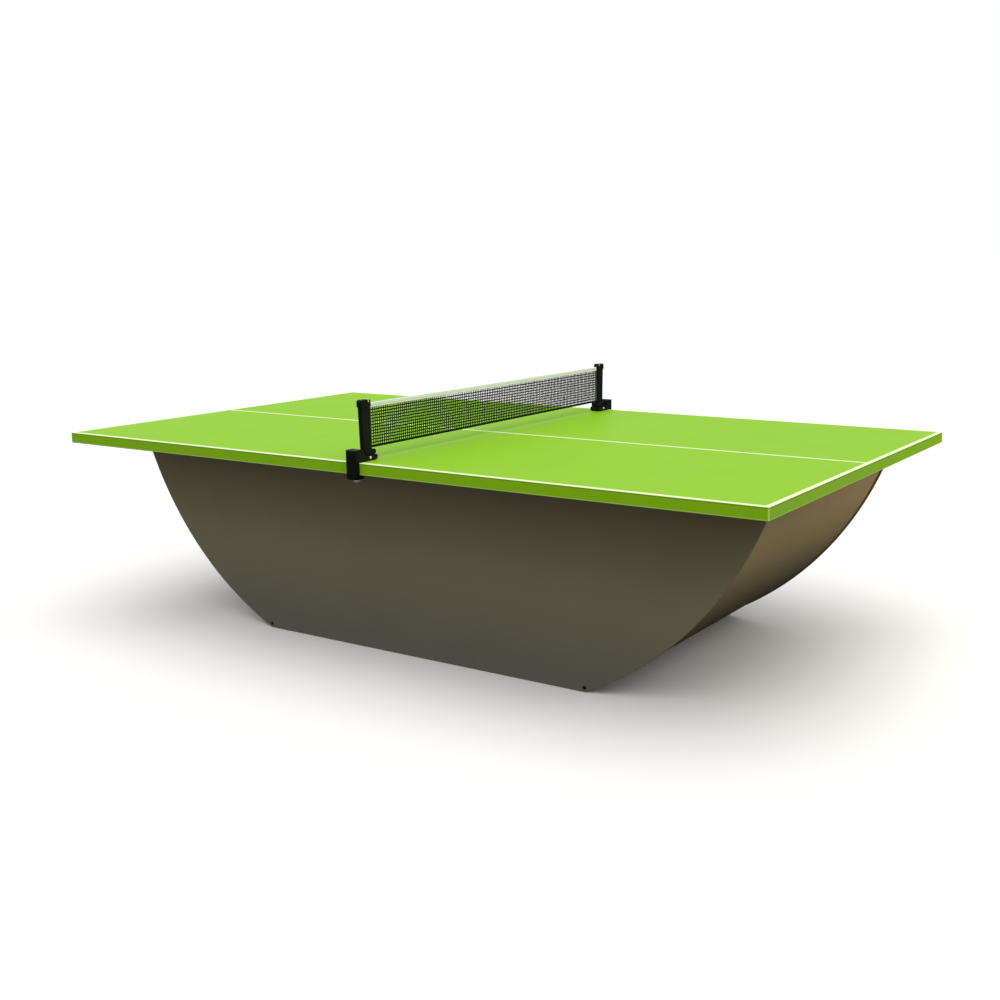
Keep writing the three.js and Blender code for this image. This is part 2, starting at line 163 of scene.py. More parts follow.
def group_of(name, takes, gives):
    """An empty shader node group with its sockets; gives back the tree and its two end nodes."""
    kinds = {"value": "NodeSocketFloat", "vector": "NodeSocketVector", "colour": "NodeSocketColor"}
    made = bpy.data.node_groups.new(name, "ShaderNodeTree")
    for way, sockets in (("INPUT", takes), ("OUTPUT", gives)):
        for label, kind in sockets.items():
            made.interface.new_socket(label, in_out=way, socket_type=kinds[kind])
    start = made.nodes.new("NodeGroupInput")
    end = made.nodes.new("NodeGroupOutput")
    return made, start, end


def math_node(tree, operation, first, second=None):
    """A Math node on sockets or numbers; gives back its output."""
    node = tree.nodes.new("ShaderNodeMath")
    node.operation = operation
    for socket, value in zip(node.inputs, (first, second)):
        if isinstance(value, bpy.types.NodeSocket):
            tree.links.new(value, socket)
        elif value is not None:
            socket.default_value = value
    return node.outputs[0]


def ramp_node(tree, value, low, high, to_low=0.0, to_high=1.0):
    """A smooth change from to_low to to_high as value goes from low to high."""
    node = tree.nodes.new("ShaderNodeMapRange")
    node.interpolation_type = "SMOOTHSTEP"
    tree.links.new(value, node.inputs["Value"])
    numbers = {"From Min": low, "From Max": high, "To Min": to_low, "To Max": to_high}
    for key, number in numbers.items():
        node.inputs[key].default_value = number
    return node.outputs["Result"]


def colour_mix(tree, factor, first, second, blend="MIX"):
    """A colour Mix node on sockets or colours; gives back its output."""
    node = tree.nodes.new("ShaderNodeMix")
    node.data_type = "RGBA"
    node.blend_type = blend
    sockets = (node.inputs[0], node.inputs[6], node.inputs[7])
    for socket, value in zip(sockets, (factor, first, second)):
        if isinstance(value, bpy.types.NodeSocket):
            tree.links.new(value, socket)
        elif isinstance(value, (int, float)):
            socket.default_value = value
        else:
            socket.default_value = (*value, 1)
    return node.outputs[2]


# Uneven tone: a colour that drifts a little lighter and darker over the surface.
uneven_tone, start, end = group_of(
    "uneven_tone",
    {"Place": "vector", "Colour": "colour", "Size": "value", "Amount": "value"},
    {"Colour": "colour"},
)
drift = new_node(uneven_tone.nodes, "ShaderNodeTexNoise", Detail=3.0, Roughness=0.55)
uneven_tone.links.new(start.outputs["Place"], drift.inputs["Vector"])
uneven_tone.links.new(start.outputs["Size"], drift.inputs["Scale"])
centred = math_node(uneven_tone, "SUBTRACT", drift.outputs["Fac"], 0.5)
swing = math_node(uneven_tone, "MULTIPLY", centred, start.outputs["Amount"])
level = math_node(uneven_tone, "ADD", swing, 1.0)
scaled = uneven_tone.nodes.new("ShaderNodeVectorMath")
scaled.operation = "SCALE"
uneven_tone.links.new(start.outputs["Colour"], scaled.inputs[0])
uneven_tone.links.new(level, scaled.inputs["Scale"])
uneven_tone.links.new(scaled.outputs["Vector"], end.inputs["Colour"])

# Fine skin: the small waves of a sprayed or moulded surface, as a height and a roughness.
fine_skin, start, end = group_of(
    "fine_skin",
    {"Place": "vector", "Size": "value", "Roughness": "value", "Spread": "value"},
    {"Height": "value", "Roughness": "value"},
)
waves = new_node(fine_skin.nodes, "ShaderNodeTexNoise", Detail=2.0, Roughness=0.5)
fine_skin.links.new(start.outputs["Place"], waves.inputs["Vector"])
fine_skin.links.new(start.outputs["Size"], waves.inputs["Scale"])
rubbed = new_node(fine_skin.nodes, "ShaderNodeTexNoise", Scale=9.0, Detail=4.0)
fine_skin.links.new(start.outputs["Place"], rubbed.inputs["Vector"])
off_middle = math_node(fine_skin, "SUBTRACT", rubbed.outputs["Fac"], 0.5)
spread = math_node(fine_skin, "MULTIPLY", off_middle, start.outputs["Spread"])
varied = math_node(fine_skin, "ADD", spread, start.outputs["Roughness"])
fine_skin.links.new(varied, end.inputs["Roughness"])
fine_skin.links.new(waves.outputs["Fac"], end.inputs["Height"])


class Finish:
    """A material being built: its tree, its shader, and its place on the object."""

    def __init__(self, name, **constants):
        self.material = bpy.data.materials.new(name)
        self.material.use_nodes = True
        self.tree = self.material.node_tree
        self.shader = self.tree.nodes["Principled BSDF"]
        self.place = self.tree.nodes.new("ShaderNodeTexCoord").outputs["Object"]
        for key, value in constants.items():
            self.shader.inputs[key.replace("_", " ")].default_value = value

    def group(self, which, **values):
        node = self.tree.nodes.new("ShaderNodeGroup")
        node.node_tree = which
        for key, value in values.items():
            if isinstance(value, bpy.types.NodeSocket):
                self.tree.links.new(value, node.inputs[key])
            elif isinstance(value, tuple):
                node.inputs[key].default_value = (*value, 1)
            else:
                node.inputs[key].default_value = value
        if "Place" in node.inputs and not node.inputs["Place"].is_linked:
            self.tree.links.new(self.place, node.inputs["Place"])
        return node.outputs

    def parts_of(self, vector):
        split = self.tree.nodes.new("ShaderNodeSeparateXYZ")
        self.tree.links.new(vector, split.inputs[0])
        return split.outputs

    def axes(self):
        return self.parts_of(self.place)

    def facing(self):
        """The three parts of the direction that the surface faces."""
        return self.parts_of(self.tree.nodes.new("ShaderNodeNewGeometry").outputs["Normal"])

    def toned(self, colour, size, amount):
        """A colour made uneven; gives back its output."""
        return self.group(uneven_tone, Colour=colour, Size=size, Amount=amount)["Colour"]

    def skinned(self, size, roughness, spread, depth, strength):
        """Gives the surface its fine skin, as its roughness and its relief."""
        skin = self.group(fine_skin, Size=size, Roughness=roughness, Spread=spread)
        self.roughness(skin["Roughness"])
        self.relief(skin["Height"], depth, strength)

    def colour(self, socket):
        self.tree.links.new(socket, self.shader.inputs["Base Color"])

    def roughness(self, socket):
        self.tree.links.new(socket, self.shader.inputs["Roughness"])

    def relief(self, height, depth, strength=1.0):
        bump = self.tree.nodes.new("ShaderNodeBump")
        bump.inputs["Strength"].default_value = strength
        bump.inputs["Distance"].default_value = depth
        self.tree.links.new(height, bump.inputs["Height"])
        self.tree.links.new(bump.outputs["Normal"], self.shader.inputs["Normal"])


def finished(bm, name, finish, replaces=(), body="table", sharp=35):
    """A bmesh made a piece of the table: normals outwards, smooth faces with flat ones kept flat."""
    bmesh.ops.recalc_face_normals(bm, faces=bm.faces)
    mesh = bpy.data.meshes.new(name)
    bm.to_mesh(mesh)
    bm.free()
    for face in mesh.polygons:
        face.use_smooth = True
    mesh.set_sharp_from_angle(angle=math.radians(sharp))
    mesh.materials.append(finish.material)
    piece = bpy.data.objects.new(name, mesh)
    scene.collection.objects.link(piece)
    even = piece.modifiers.new("even_normals", "WEIGHTED_NORMAL")
    even.keep_sharp = True
    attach(piece, body)
    if replaces:
        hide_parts(*replaces)
    return piece


def block(bm, low, high):
    """A box between two corners; gives back its vertices."""
    low, high = Vector(low), Vector(high)
    made = bmesh.ops.create_cube(bm, size=1)["verts"]
    bmesh.ops.scale(bm, vec=high - low, verts=made)
    bmesh.ops.translate(bm, vec=(low + high) / 2, verts=made)
    return made


def rounded(bm, edges, radius, segments=3):
    bmesh.ops.bevel(
        bm,
        geom=list(edges),
        offset=radius,
        segments=segments,
        profile=0.5,
        affect="EDGES",
        material=-1,
        clamp_overlap=True,
    )


top_low, top_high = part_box("top_half_left")
half_length = -top_low.x
half_width = top_high.y
playing_height = top_high.z
underside = top_low.z
line_width = 0.015
centre_line_width = 0.014
arris = 0.0028

top_paint = Finish("green_paint", Specular_IOR_Level=0.18)
x, y, z = top_paint.axes()
tree = top_paint.tree
along, across = math_node(tree, "ABSOLUTE", x), math_node(tree, "ABSOLUTE", y)
blur = 0.0006
end_line = ramp_node(tree, along, half_length - line_width - blur, half_length - line_width + blur)
side_line = ramp_node(tree, across, half_width - line_width - blur, half_width - line_width + blur)
middle = centre_line_width / 2
centre_line = ramp_node(tree, across, middle - blur, middle + blur, 1.0, 0.0)
lines = math_node(tree, "MAXIMUM", math_node(tree, "MAXIMUM", end_line, side_line), centre_line)
facing_up = top_paint.facing()[2]
# The painted shade under the top arris falls only on the side faces, not on the top.
painted_shade_on_sides = ramp_node(tree, facing_up, 0.2, 0.5, 0.45, 0.0)
on_top = ramp_node(tree, z, playing_height - 0.0022, playing_height - 0.0012)
lines = math_node(tree, "MULTIPLY", lines, on_top)
green = top_paint.toned((0.270, 0.585, 0.005), size=1.3, amount=0.10)
# Painted highlight: a lighter green along the bottom arris and the vertical corners, where the rounded
# edges catch the light.
low_arris = ramp_node(tree, z, underside + 0.0030, underside + 0.0048, 1.0, 0.0)
past_end = ramp_node(tree, along, half_length - 0.0042, half_length - 0.0030)
past_side = ramp_node(tree, across, half_width - 0.0042, half_width - 0.0030)
corner = math_node(tree, "MULTIPLY", past_end, past_side)
painted_arris_highlight = math_node(tree, "MAXIMUM", low_arris, corner)
green = colour_mix(tree, math_node(tree, "MULTIPLY", painted_arris_highlight, 0.6), green, (0.74, 0.92, 0.30))
# Painted shade: a thin dark green line on the side faces just under the top arris.
painted_shadow_under_arris = ramp_node(tree, z, playing_height - 0.0062, playing_height - 0.0044)
green = colour_mix(tree, math_node(tree, "MULTIPLY", painted_shadow_under_arris, painted_shade_on_sides), green, (0.03, 0.12, 0.0))
white = top_paint.toned((0.84, 0.93, 0.60), size=30.0, amount=0.07)
painted = colour_mix(tree, lines, green, white)
below = ramp_node(tree, facing_up, -0.9, -0.75, 1.0, 0.0)
primer = top_paint.toned((0.035, 0.036, 0.030), size=14.0, amount=0.4)
top_paint.colour(colour_mix(tree, below, painted, primer))
skin = top_paint.group(fine_skin, Size=520.0, Roughness=0.50, Spread=0.12)
top_paint.roughness(skin["Roughness"])
raised = math_node(tree, "ADD", math_node(tree, "MULTIPLY", lines, 1.2), skin["Height"])
top_paint.relief(raised, 0.00012, 0.5)

for end_name in ("left", "right"):
    low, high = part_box(f"top_half_{end_name}")
    seam = high.x if end_name == "left" else low.x
    bm = bmesh.new()
    block(bm, low, high)
    seam_edges = [e for e in bm.edges if all(abs(v.co.x - seam) < 1e-5 for v in e.verts)]
    rounded(bm, [e for e in bm.edges if e not in seam_edges], arris, 4)
    finished(bm, f"table_top_{end_name}", top_paint, [f"top_half_{end_name}"])

# ---- Base: side panels ----------------------------------------------------------------------
# Two flat painted boards, 12 mm thick, cut to a boat's outline: a straight foot on the floor
# and ends that are arcs of one circle. They stand a little proud of the curved end sheets.

foot_half = 0.665
end_radius = 1.150
rim_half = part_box("side_panel_near")[1].x
rim_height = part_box("side_panel_near")[1].z
foot_corner, rim_corner = Vector((foot_half, 0, 0)), Vector((rim_half, 0, rim_height))
chord = rim_corner - foot_corner
inwards = Vector((-chord.z, 0, chord.x)).normalized()
end_centre = (foot_corner + rim_corner) / 2 + inwards * math.sqrt(
    end_radius**2 - (chord.length / 2) ** 2
)

base_paint = Finish("base_paint", Specular_IOR_Level=0.25)
tree = base_paint.tree
x, y, z = base_paint.axes()
brown = base_paint.toned((0.272, 0.240, 0.134), size=2.2, amount=0.16)
# The paint turns darker and greyer towards the floor.
lower_grey_tone = base_paint.toned((0.158, 0.158, 0.128), size=7.0, amount=0.18)
near_floor = ramp_node(tree, z, 0.0, 0.42, 1.0, 0.0)
painted = colour_mix(tree, near_floor, brown, lower_grey_tone)
# Painted highlight: the boards' edge faces are painted a lighter brown, where their rounded edges catch
# the light.
sideways = math_node(tree, "ABSOLUTE", base_paint.facing()[1])
on_edge = ramp_node(tree, sideways, 0.55, 0.9, 1.0, 0.0)
on_board = ramp_node(tree, math_node(tree, "ABSOLUTE", y), 0.4878, 0.4884)
painted_panel_edge_highlight = math_node(tree, "MULTIPLY", math_node(tree, "MULTIPLY", on_edge, on_board), 0.45)
base_paint.colour(colour_mix(tree, painted_panel_edge_highlight, painted, (0.46, 0.41, 0.29)))
base_paint.skinned(size=420.0, roughness=0.52, spread=0.16, depth=0.00015, strength=0.5)


def angle_at(radius, height):
    """The angle on the end's circle at a height, below the level of its centre."""
    return math.asin((height - end_centre.z) / radius)


def on_circle(radius, angle, across):
    """A point on the end's circle, at a place across the table."""
    out = Vector((radius * math.cos(angle), across, radius * math.sin(angle)))
    return out + Vector((end_centre.x, 0, end_centre.z))


panel_arris = 0.0015
for side_name in ("near", "far"):
    low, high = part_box(f"side_panel_{side_name}")
    bm = bmesh.new()
    start_angle, stop_angle = angle_at(end_radius, 0), angle_at(end_radius, rim_height)
    first = bm.verts.new(on_circle(end_radius, start_angle, low.y))
    bmesh.ops.spin(
        bm,
        geom=[first],
        cent=Vector((end_centre.x, low.y, end_centre.z)),
        axis=(0, -1, 0),
        angle=stop_angle - start_angle,
        steps=56,
    )
    bmesh.ops.mirror(bm, geom=bm.verts[:] + bm.edges[:], axis="X", merge_dist=-1)
    for level in (min, max):
        height = level(v.co.z for v in bm.verts)
        corners = [v for v in bm.verts if abs(v.co.z - height) < 1e-5]
        bm.edges.new(corners)
    outline = bmesh.ops.edgeloop_fill(bm, edges=bm.edges[:])["faces"]
    grown = bmesh.ops.extrude_face_region(bm, geom=outline)["geom"]
    moved = [g for g in grown if isinstance(g, bmesh.types.BMVert)]
    bmesh.ops.translate(bm, vec=(0, high.y - low.y, 0), verts=moved)
    around = [e for e in bm.edges if abs(e.verts[0].co.y - e.verts[1].co.y) < 1e-6]
    rounded(bm, around, panel_arris, 2)
    finished(bm, f"side_board_{side_name}", base_paint, [f"side_panel_{side_name}"])

# ---- Base: curved end sheets and bottom -----------------------------------------------------
# Thin sheets bent to the side panels' arcs and let in between them, 6 mm back from their edges.
# The flat bottom sheet closes the base underneath.

sheet_inset = 0.006
sheet_thickness = 0.005
# Painted light: the end sheets carry the boards' paint as a lit copy. They are painted a light warm tan
# at the top, as if lit by a warm lamp at the end, and go to a dark umber towards the floor as painted
# shade.
sheet_paint_with_painted_light = Finish("sheet_paint_with_painted_light", Specular_IOR_Level=0.25)
tree = sheet_paint_with_painted_light.tree
z = sheet_paint_with_painted_light.axes()[2]
painted_warm_light_tone = sheet_paint_with_painted_light.toned((0.60, 0.465, 0.225), size=1.6, amount=0.16)
painted_low_shade_tone = sheet_paint_with_painted_light.toned((0.140, 0.122, 0.064), size=5.0, amount=0.18)
sheet_paint_with_painted_light.colour(colour_mix(tree, ramp_node(tree, z, 0.12, 0.62, 1.0, 0.0), painted_warm_light_tone, painted_low_shade_tone))
sheet_paint_with_painted_light.skinned(size=420.0, roughness=0.52, spread=0.16, depth=0.00015, strength=0.5)

for end_name, turn in (("left", math.pi), ("right", 0.0)):
    low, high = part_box(f"end_skin_{end_name}")
    radius = end_radius - sheet_inset
    start_angle = angle_at(radius, sheet_inset)
    stop_angle = angle_at(radius - sheet_thickness, rim_height)
    bm = bmesh.new()
    across = [bm.verts.new(on_circle(radius, start_angle, y)) for y in (low.y, high.y)]
    edge = bm.edges.new(across)
    bmesh.ops.spin(
        bm,
        geom=[*across, edge],
        cent=end_centre,
        axis=(0, -1, 0),
        angle=stop_angle - start_angle,
        steps=56,
    )
    bmesh.ops.recalc_face_normals(bm, faces=bm.faces)
    if bm.faces[:][0].normal.x < 0:
        bmesh.ops.reverse_faces(bm, faces=bm.faces)
    bmesh.ops.solidify(bm, geom=bm.faces[:], thickness=sheet_thickness)
    bmesh.ops.rotate(bm, cent=(0, 0, 0), matrix=Matrix.Rotation(turn, 3, "Z"), verts=bm.verts)
    finished(bm, f"end_sheet_{end_name}", sheet_paint_with_painted_light, [f"end_skin_{end_name}"])


def repaint(names, finish):
    """CAD nodes whose shape is right, given a finish."""
    for name in names:
        mesh = nodes_of_cad[name].data
        mesh.materials.clear()
        mesh.materials.append(finish.material)


repaint(["bottom_sheet"], base_paint)

# ---- Inside frame ---------------------------------------------------------------------------
# Planed softwood: rails under the top and along the foot, and three bulkheads between them.
# All of it is closed in by the base.

timber = Finish("planed_timber", Specular_IOR_Level=0.3)
tree = timber.tree
stretch = new_node(tree.nodes, "ShaderNodeMapping")
stretch.inputs["Scale"].default_value = (1.2, 16.0, 16.0)
tree.links.new(timber.place, stretch.inputs["Vector"])
grain = new_node(tree.nodes, "ShaderNodeTexNoise", Scale=5.0, Detail=8.0, Distortion=0.6)
tree.links.new(stretch.outputs["Vector"], grain.inputs["Vector"])
streaks = ramp_node(tree, grain.outputs["Fac"], 0.38, 0.64)
timber.colour(colour_mix(tree, streaks, (0.50, 0.32, 0.15), (0.33, 0.19, 0.075)))
timber.roughness(ramp_node(tree, grain.outputs["Fac"], 0.3, 0.7, 0.62, 0.82))
timber.relief(grain.outputs["Fac"], 0.0004, 0.5)
repaint(
    [n for n in nodes_of_cad if n.startswith(("top_rail", "cross_rail", "base_rail", "bulkhead"))],
    timber,
)

# ---- Corner screws --------------------------------------------------------------------------
# Small blackened button heads with a hexagon socket, one in each bottom corner of the side
# panels, which hold them to the rails inside.

black_steel = Finish("blackened_steel", Metallic=0.9)
black_steel.colour(black_steel.toned((0.028, 0.027, 0.026), size=300.0, amount=0.5))
black_steel.skinned(size=900.0, roughness=0.38, spread=0.2, depth=0.00005, strength=0.4)


def button_head(bm, radius, height, socket, sides=28):
    """A domed head on the XY plane with a hexagon socket in its top."""
    made = bmesh.ops.create_circle(bm, cap_ends=True, radius=radius, segments=sides)["verts"]
    cap = made[0].link_faces[0]
    bmesh.ops.recalc_face_normals(bm, faces=[cap])
    if cap.normal.z < 0:
        cap.normal_flip()
    steps = ((0.0, height * 0.45), (radius * 0.12, height * 0.30), (radius * 0.24, height * 0.25))
    for inset, rise in steps:
        if inset:
            bmesh.ops.inset_region(bm, faces=[cap], thickness=inset, use_even_offset=True)
            bmesh.ops.translate(bm, vec=(0, 0, rise), verts=cap.verts)
        else:
            grown = bmesh.ops.extrude_face_region(bm, geom=[cap])["geom"]
            new_cap = [g for g in grown if isinstance(g, bmesh.types.BMFace)][0]
            bmesh.ops.delete(bm, geom=[cap], context="FACES_ONLY")
            cap = new_cap
            bmesh.ops.translate(bm, vec=(0, 0, rise), verts=cap.verts)
    bmesh.ops.delete(bm, geom=[cap], context="FACES_ONLY")
    rim = [e for e in bm.edges if e.is_boundary and e.verts[0].co.z > height * 0.9]
    hexagon = bmesh.ops.create_circle(bm, radius=socket, segments=6)["verts"]
    bmesh.ops.translate(bm, vec=(0, 0, height), verts=hexagon)
    hexagon_edges = list({e for v in hexagon for e in v.link_edges})
    bmesh.ops.bridge_loops(bm, edges=rim + hexagon_edges)
    down = bmesh.ops.extrude_edge_only(bm, edges=hexagon_edges)["geom"]
    bottom = [g for g in down if isinstance(g, bmesh.types.BMVert)]
    bmesh.ops.translate(bm, vec=(0, 0, -height * 0.6), verts=bottom)
    bmesh.ops.contextual_create(bm, geom=[g for g in down if isinstance(g, bmesh.types.BMEdge)])
    foot = [e for e in bm.edges if e.is_boundary]
    bmesh.ops.contextual_create(bm, geom=foot)


def put_shank(bm, radius, length, shift=0.0):
    """A plain shank along Z, moved along it by shift; gives back its vertices."""
    made = bmesh.ops.create_cone(
        bm, cap_ends=True, radius1=radius, radius2=radius, depth=length, segments=16
    )["verts"]
    bmesh.ops.translate(bm, vec=(0, 0, shift), verts=made)
    return made


panel_screw_head, panel_screw_rise, panel_screw_socket = 0.0060, 0.0030, 0.0022
panel_screw_shank, panel_screw_length = 0.0025, 0.033
for side_name, s in (("near", -1), ("far", 1)):
    for end_name in ("left", "right"):
        node = f"corner_screw_{side_name}_{end_name}"
        low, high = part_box(node)
        head_face = high.y if s > 0 else low.y
        centre = (low + high) / 2
        bm = bmesh.new()
        button_head(bm, panel_screw_head, panel_screw_rise, panel_screw_socket)
        put_shank(bm, panel_screw_shank, panel_screw_length, -panel_screw_length / 2)
        upright = Matrix.Rotation(math.pi / 2 * -s, 3, "X")
        bmesh.ops.rotate(bm, cent=(0, 0, 0), matrix=upright, verts=bm.verts)
        place = (centre.x, head_face - s * panel_screw_rise, centre.z)
        bmesh.ops.translate(bm, vec=place, verts=bm.verts)
        finished(bm, f"panel_screw_{side_name}_{end_name}", black_steel, [node])

# ---- Screws and joining plates under the top ------------------------------------------------
# Zinc-plated steel: eight screws up through the cross rails, and a flat plate on each side
# that ties the two halves of the top together under the overhang.

zinc = Finish("zinc_plate", Metallic=1.0)
tree = zinc.tree
spangle = new_node(tree.nodes, "ShaderNodeTexVoronoi", Scale=420.0)
tree.links.new(zinc.place, spangle.inputs["Vector"])
flake = tree.nodes.new("ShaderNodeSeparateColor")
tree.links.new(spangle.outputs["Color"], flake.inputs[0])
zinc.colour(colour_mix(tree, flake.outputs[0], (0.46, 0.47, 0.49), (0.62, 0.63, 0.65)))
zinc.roughness(ramp_node(tree, flake.outputs[1], 0.0, 1.0, 0.30, 0.46))
zinc.relief(flake.outputs[0], 0.00004, 0.3)
repaint([n for n in nodes_of_cad if n.startswith("top_screw")], zinc)

plate_corner, plate_arris = 0.009, 0.0006
plate_screw_head, plate_screw_rise, plate_screw_socket = 0.0050, 0.0025, 0.0019
for side_name in ("near", "far"):
    low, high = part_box(f"join_plate_{side_name}")
    bm = bmesh.new()
    block(bm, low, high)
    upright = [e for e in bm.edges if abs(e.verts[0].co.z - e.verts[1].co.z) > 1e-4]
    rounded(bm, upright, plate_corner, 5)
    flat = [e for e in bm.edges if abs(e.verts[0].co.z - e.verts[1].co.z) < 1e-6]
    rounded(bm, flat, plate_arris, 2)
    finished(bm, f"tie_plate_{side_name}", zinc, [f"join_plate_{side_name}"])
    for end_name in ("left", "right"):
        node = f"join_screw_{side_name}_{end_name}"
        low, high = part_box(node)
        bm = bmesh.new()
        button_head(bm, plate_screw_head, plate_screw_rise, plate_screw_socket)
        half_turn = Matrix.Rotation(math.pi, 3, "X")
        bmesh.ops.rotate(bm, cent=(0, 0, 0), matrix=half_turn, verts=bm.verts)
        place = ((low.x + high.x) / 2, (low.y + high.y) / 2, low.z + plate_screw_rise)
        bmesh.ops.translate(bm, vec=place, verts=bm.verts)
        finished(bm, f"tie_screw_{side_name}_{end_name}", zinc, [node])

# ---- Net clamps -----------------------------------------------------------------------------
# One moulded black bracket on each long edge: an upright outside the board, an arm that lies
# in over the top on a rubber strip, and a lower jaw that the clamping screw goes through.

black_plastic = Finish("black_plastic", Specular_IOR_Level=0.13)
black_plastic.colour(black_plastic.toned((0.0040, 0.0046, 0.0030), size=60.0, amount=0.5))
black_plastic.skinned(size=1400.0, roughness=0.46, spread=0.18, depth=0.00012, strength=0.6)

rubber = Finish("rubber", Specular_IOR_Level=0.2)
rubber.colour(rubber.toned((0.016, 0.016, 0.015), size=240.0, amount=0.6))
rubber.skinned(size=1800.0, roughness=0.82, spread=0.15, depth=0.0002, strength=0.6)


def profile_body(corners, width, edge_radius, soft=None, soft_radius=0.0):
    """A bmesh of an outline in the YZ plane, [y, z, radius] at each corner, made width wide.
    soft says which edges, by their middle, are rounded together first."""
    bm = bmesh.new()
    ring = [bm.verts.new((-width / 2, y, z)) for y, z, _ in corners]
    face = bm.faces.new(ring)
    grown = bmesh.ops.extrude_face_region(bm, geom=[face])["geom"]
    moved = [g for g in grown if isinstance(g, bmesh.types.BMVert)]
    bmesh.ops.translate(bm, vec=(width, 0, 0), verts=moved)
    bmesh.ops.recalc_face_normals(bm, faces=bm.faces)
    if soft:
        middles = {e: (e.verts[0].co + e.verts[1].co) / 2 for e in bm.edges}
        rounded(bm, [e for e, m in middles.items() if soft(m)], soft_radius, 5)
    for y, z, radius in corners:
        if radius:
            here = [
                e
                for e in bm.edges
                if all((v.co.yz - Vector((y, z))).length < 1e-6 for v in e.verts)
            ]
            rounded(bm, here, radius, 6)
    if edge_radius:
        crisp = [e for e in bm.edges if len(e.link_faces) == 2 and e.calc_face_angle() > 0.8]
        rounded(bm, crisp, edge_radius, 3)
    return bm


def to_side(bm, side_name):
    """Moves a clamp's piece, drawn from the near edge inwards, to its side of the table."""
    bmesh.ops.translate(bm, vec=(0, -half_width, playing_height), verts=bm.verts)
    if side_name == "far":
        bmesh.ops.rotate(bm, cent=(0, 0, 0), matrix=Matrix.Rotation(math.pi, 3, "Z"), verts=bm.verts)


clamp_width = 0.042
clamp_outline = [
    (-0.0185, -0.0525, 0.0),
    (0.0215, -0.0525, 0.0035),
    (0.0215, -0.0445, 0.0015),
    (-0.0005, -0.0445, 0.0015),
    (-0.0005, 0.0026, 0.0008),
    (0.086, 0.0026, 0.005),
    (0.086, 0.018, 0.006),
    (0.030, 0.018, 0.003),
    (0.022, 0.040, 0.007),
    (-0.0185, 0.040, 0.0),
]


def outer_edges(middle):
    """The upright's outer edges: its outer face's border and the sides of its bottom."""
    on_outer_face = abs(middle.y - clamp_outline[0][0]) < 1e-6
    on_bottom = abs(middle.z - clamp_outline[0][1]) < 1e-6 and middle.y < 0.01
    return on_outer_face or on_bottom


clamp_arris, clamp_softness = 0.0018, 0.0085
for side_name in ("near", "far"):
    bm = profile_body(clamp_outline, clamp_width, clamp_arris, outer_edges, clamp_softness)
    to_side(bm, side_name)
    finished(bm, f"net_clamp_{side_name}", black_plastic, [f"clamp_body_{side_name}"])

repaint(["clamp_arm_pad_near", "clamp_arm_pad_far"], rubber)

# ---- Clamping screws and their pads ---------------------------------------------------------
# A chromed thumb screw comes up through the lower jaw and presses a rubber-faced disc against
# the underside of the top. The head is knurled for the fingers.

chrome = Finish("chrome", Metallic=0.8)
chrome.colour(chrome.toned((0.86, 0.86, 0.83), size=180.0, amount=0.10))
chrome.skinned(size=700.0, roughness=0.24, spread=0.14, depth=0.00003, strength=0.3)


def turned(bm, profile, steps=36):
    """A turned shape about Z from its profile [radius, height], open where radius is 0."""
    line = [bm.verts.new((radius, 0, height)) for radius, height in profile]
    for a, b in zip(line, line[1:]):
        bm.edges.new((a, b))
    bmesh.ops.spin(
        bm,
        geom=bm.verts[:] + bm.edges[:],
        cent=(0, 0, 0),
        axis=(0, 0, 1),
        angle=math.tau,
        steps=steps,
        use_merge=True,
    )
    bmesh.ops.remove_doubles(bm, verts=bm.verts, dist=1e-6)


core, shaft = 0.0034, 0.0040
pitch = 0.00125
head_rise = 0.008
head_chamfer, head_shoulder = 0.0016, 0.0010
grip_count, grip_border, grip_depth = 48, 0.00018, 0.0006
pad_face = 0.0016  # thickness of the pad's face, over its socket
pad_neck = 0.0013  # how much slimmer the pad is below its face
pad_socket = 0.0043
for side_name in ("near", "far"):
    low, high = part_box(f"clamp_screw_{side_name}")
    centre = (low + high) / 2
    head_radius = (high.x - low.x) / 2
    head_top = low.z + head_rise
    profile = [(0, low.z), (head_radius - head_chamfer, low.z), (head_radius, low.z + head_chamfer)]
    profile += [(head_radius, head_top - head_shoulder), (head_radius - head_shoulder, head_top)]
    profile += [(core + 0.0012, head_top)]
    turns = int((high.z - 0.001 - head_top) / pitch)
    for k in range(turns):
        profile += [(core, head_top + (k + 0.25) * pitch), (shaft, head_top + (k + 0.75) * pitch)]
    profile += [(core, high.z - 0.0006), (core - 0.0006, high.z), (0, high.z)]
    bm = bmesh.new()
    turned(bm, profile, grip_count)
    grips = []
    for f in bm.faces:
        middle = f.calc_center_median()
        every_other = math.atan2(middle.y, middle.x) // (math.tau / grip_count) % 2
        if abs(f.normal.z) < 0.1 and middle.xy.length > head_radius * 0.98 and every_other:
            grips.append(f)
    bmesh.ops.inset_individual(bm, faces=grips, thickness=grip_border, depth=-grip_depth)
    bmesh.ops.translate(bm, vec=(centre.x, centre.y, 0), verts=bm.verts)
    finished(
        bm,
        f"thumb_screw_{side_name}",
        chrome,
        [f"clamp_screw_{side_name}"],
        f"screw_{side_name}",
        sharp=50,
    )

    low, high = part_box(f"pressure_pad_{side_name}")
    radius = (high.x - low.x) / 2
    face_low = high.z - pad_face
    profile = [(0, high.z), (radius - pad_face / 2, high.z), (radius, high.z - pad_face / 2)]
    profile += [(radius, face_low), (radius - 0.0010, face_low - 0.0003)]
    profile += [(radius - pad_neck, low.z), (pad_socket, low.z), (pad_socket, face_low)]
    profile += [(0, face_low)]
    bm = bmesh.new()
    turned(bm, profile, 40)
    bmesh.ops.translate(bm, vec=(centre.x, centre.y, 0), verts=bm.verts)
    finished(
        bm,
        f"clamp_disc_{side_name}",
        rubber,
        [f"pressure_pad_{side_name}"],
        f"pad_{side_name}",
    )

# ---- Net posts ------------------------------------------------------------------------------
# Flat moulded posts that stand on a rounded foot over the clamp's arm. The post widens a
# little towards its top, and a separate cap with a cord notch is pushed over the end.

